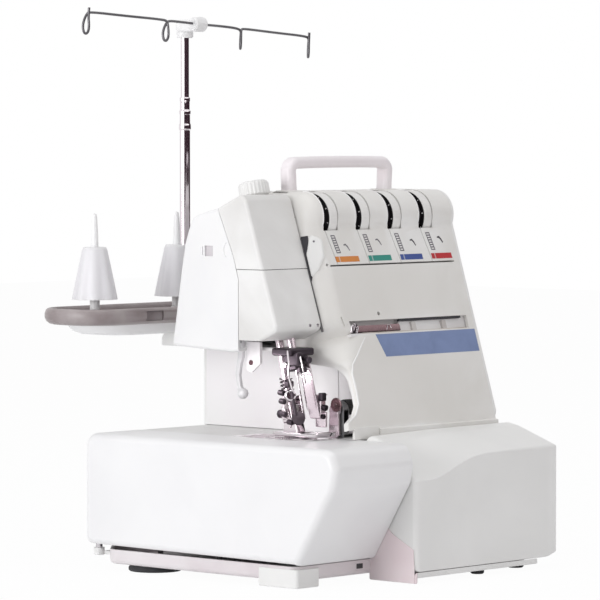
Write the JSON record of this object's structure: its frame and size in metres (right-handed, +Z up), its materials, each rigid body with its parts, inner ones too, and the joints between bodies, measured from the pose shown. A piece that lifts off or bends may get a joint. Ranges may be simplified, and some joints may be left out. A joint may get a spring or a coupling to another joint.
{
  "type": "serger overlock machine",
  "caption": "Table-top overlock sewing machine with swing-out cloth plate, fold-down looper cover, tension dials, carrying handle and thread stand.",
  "frame": {"origin": "on the table, under the middle of the whole machine", "axes": "+X to the operator's right, -Y towards the operator, +Z up"},
  "size_m": [0.314, 0.282, 0.4086],
  "materials": {
    "casing": "satin moulded white",
    "handle": "satin moulded",
    "foot_rubber": "matt",
    "cast_frame": "machined casting",
    "steel": "ground",
    "chrome": "polished",
    "bronze": "sintered",
    "dark_metal": "blackened",
    "wheel": "satin",
    "pulley_black": "moulded",
    "belt_rubber": "matt",
    "motor_case": "stoved paint",
    "lever_grey": "grey paint",
    "dial": "ridged rim",
    "lamp": "clear lens",
    "tray": "tinted",
    "stand_plastic": "satin",
    "cone": "translucent"
  },
  "bodies": {
    "root": {"base_pan": "casing", "rubber_feet": "foot_rubber", "main_frame": "cast_frame", "front_cover": "casing", "rear_cover": "casing", "right_cover": "casing", "throat_cover": "casing", "bed_cover": "casing", "head_cover": "casing", "face_upper_cover": "casing", "face_lower_cover": "casing", "plate_hinge_pin": "steel", "needle_plate": "chrome", "carrying_handle": "handle", "bushes": "bronze", "drive_belt": "belt_rubber", "motor": "motor_case", "knife_bracket": "lever_grey", "lower_knife": "steel", "tension_discs": "steel", "tension_posts": "steel", "thread_guides": "steel", "power_inlet": "pulley_black", "work_lamp": "lamp", "spool_tray": "tray", "spool_pins": "stand_plastic", "cone_holders": "cone", "mast_tube": "chrome", "cover_screws": "steel"},
    "cloth_plate": {"cloth_plate": "casing"},
    "looper_rod": {"looper_cover_rod": "steel"},
    "looper_cover": {"looper_cover": "casing"},
    "drive": {"main_shaft": "steel", "handwheel": "wheel", "shaft_pulley": "pulley_black"},
    "motor_rotor": {"motor_pulley": "motor_case"},
    "needle_rocker": {"needle_rock_shaft": "steel"},
    "needle": {"needle_bar": "steel", "needle_clamp": "dark_metal", "needles": "chrome"},
    "presser": {"presser_bar": "steel", "presser_spring": "steel", "presser_foot": "chrome"},
    "lifter": {"lifter_lever": "lever_grey"},
    "pressure_knob": {"pressure_knob": "wheel"},
    "upper_looper": {"upper_looper": "steel"},
    "lower_looper": {"lower_looper": "steel"},
    "upper_knife": {"upper_knife": "steel"},
    "main_feed_dog": {"main_feed_dog": "steel"},
    "differential_feed_dog": {"differential_feed_dog": "steel"},
    "tension_dial_1": {"tension_dial_1": "dial"},
    "tension_dial_2": {"tension_dial_2": "dial"},
    "tension_dial_3": {"tension_dial_3": "dial"},
    "tension_dial_4": {"tension_dial_4": "dial"},
    "stitch_length_dial": {"stitch_length_dial": "wheel"},
    "differential_lever": {"differential_lever": "wheel"},
    "stitch_width_knob": {"stitch_width_knob": "pulley_black"},
    "power_switch": {"power_switch": "pulley_black"},
    "mast_top": {"mast_slide": "chrome", "guide_head": "stand_plastic"}
  },
  "joints": [
    {"name": "cloth_plate_swing", "type": "hinge", "parent": "root", "child": "cloth_plate", "pos_m": [-0.121, 0.103, 0.06], "axis": [0, 0, 1], "range_deg": [-70, 0]},
    {"name": "looper_cover_slide", "type": "slide", "parent": "root", "child": "looper_rod", "axis": [1, 0, 0], "range_m": [0, 0.008]},
    {"name": "looper_cover_fold", "type": "hinge", "parent": "looper_rod", "child": "looper_cover", "pos_m": [0.033, -0.133, 0.0155], "axis": [1, 0, 0], "range_deg": [0, 75]},
    {"name": "handwheel_turn", "type": "hinge", "parent": "root", "child": "drive", "pos_m": [0.11, 0.022, 0.066], "axis": [1, 0, 0], "continuous": true},
    {"name": "motor_turn", "type": "hinge", "parent": "root", "child": "motor_rotor", "pos_m": [0.088, 0.064, 0.052], "axis": [1, 0, 0], "continuous": true},
    {"name": "needle_stroke", "type": "slide", "parent": "root", "child": "needle", "axis": [0, 0.225, 0.9744], "range_m": [-0.028, 0]},
    {"name": "needle_rocker_turn", "type": "hinge", "parent": "root", "child": "needle_rocker", "pos_m": [-0.066, 0.006, 0.214], "axis": [1, 0, 0], "range_deg": [-2, 56]},
    {"name": "lifter_raise", "type": "hinge", "parent": "root", "child": "lifter", "pos_m": [-0.06, 0.014, 0.172], "axis": [1, 0, 0], "range_deg": [-1, 57]},
    {"name": "presser_lift", "type": "slide", "parent": "root", "child": "presser", "axis": [0, 0.225, 0.9744], "range_m": [0, 0.006]},
    {"name": "pressure_knob_turn", "type": "hinge", "parent": "root", "child": "pressure_knob", "pos_m": [-0.061, 0.0024, 0.275], "axis": [0, 0.225, 0.9744], "range_deg": [-180, 180]},
    {"name": "upper_looper_swing", "type": "hinge", "parent": "root", "child": "upper_looper", "pos_m": [-0.028, -0.066, 0.044], "axis": [1, 0, 0], "range_deg": [-14, 14]},
    {"name": "lower_looper_swing", "type": "hinge", "parent": "root", "child": "lower_looper", "pos_m": [-0.012, -0.066, 0.044], "axis": [1, 0, 0], "range_deg": [-14, 14]},
    {"name": "upper_knife_fold", "type": "hinge", "parent": "root", "child": "upper_knife", "pos_m": [-0.044, -0.06, 0.12], "axis": [1, 0, 0], "range_deg": [0, 100]},
    {"name": "main_feed_stroke", "type": "slide", "parent": "root", "child": "main_feed_dog", "axis": [0, 1, 0], "range_m": [-0.002, 0.002]},
    {"name": "differential_feed_stroke", "type": "slide", "parent": "root", "child": "differential_feed_dog", "axis": [0, 1, 0], "range_m": [-0.002, 0.002]},
    {"name": "tension_dial_1_turn", "type": "hinge", "parent": "root", "child": "tension_dial_1", "pos_m": [-0.0275, -0.026, 0.2575], "axis": [1, 0, 0], "range_deg": [-150, 150]},
    {"name": "tension_dial_2_turn", "type": "hinge", "parent": "root", "child": "tension_dial_2", "pos_m": [0.0075, -0.026, 0.2575], "axis": [1, 0, 0], "range_deg": [-150, 150]},
    {"name": "tension_dial_3_turn", "type": "hinge", "parent": "root", "child": "tension_dial_3", "pos_m": [0.0425, -0.026, 0.2575], "axis": [1, 0, 0], "range_deg": [-150, 150]},
    {"name": "tension_dial_4_turn", "type": "hinge", "parent": "root", "child": "tension_dial_4", "pos_m": [0.0775, -0.026, 0.2575], "axis": [1, 0, 0], "range_deg": [-150, 150]},
    {"name": "stitch_length_turn", "type": "hinge", "parent": "root", "child": "stitch_length_dial", "pos_m": [0.11, -0.04, 0.15], "axis": [1, 0, 0], "range_deg": [-130, 130]},
    {"name": "differential_set", "type": "slide", "parent": "root", "child": "differential_lever", "axis": [0, 0, 1], "range_m": [-0.01, 0.01]},
    {"name": "stitch_width_turn", "type": "hinge", "parent": "root", "child": "stitch_width_knob", "pos_m": [-0.02, -0.092, 0.066], "axis": [1, 0, 0], "range_deg": [-150, 150]},
    {"name": "power_switch_rock", "type": "hinge", "parent": "root", "child": "power_switch", "pos_m": [0.1045, 0.074, 0.04], "axis": [0, 1, 0], "range_deg": [-7, 7]},
    {"name": "mast_height", "type": "slide", "parent": "root", "child": "mast_top", "axis": [0, 0, 1], "range_m": [-0.048, 0]}
  ],
  "couplings": [
    {"joint": "motor_turn", "follows": "handwheel_turn", "ratio": 3.25},
    {"joint": "needle_rocker_turn", "follows": "needle_stroke", "rad_per_m": -33},
    {"joint": "lifter_raise", "follows": "presser_lift", "rad_per_m": 160}
  ]
}
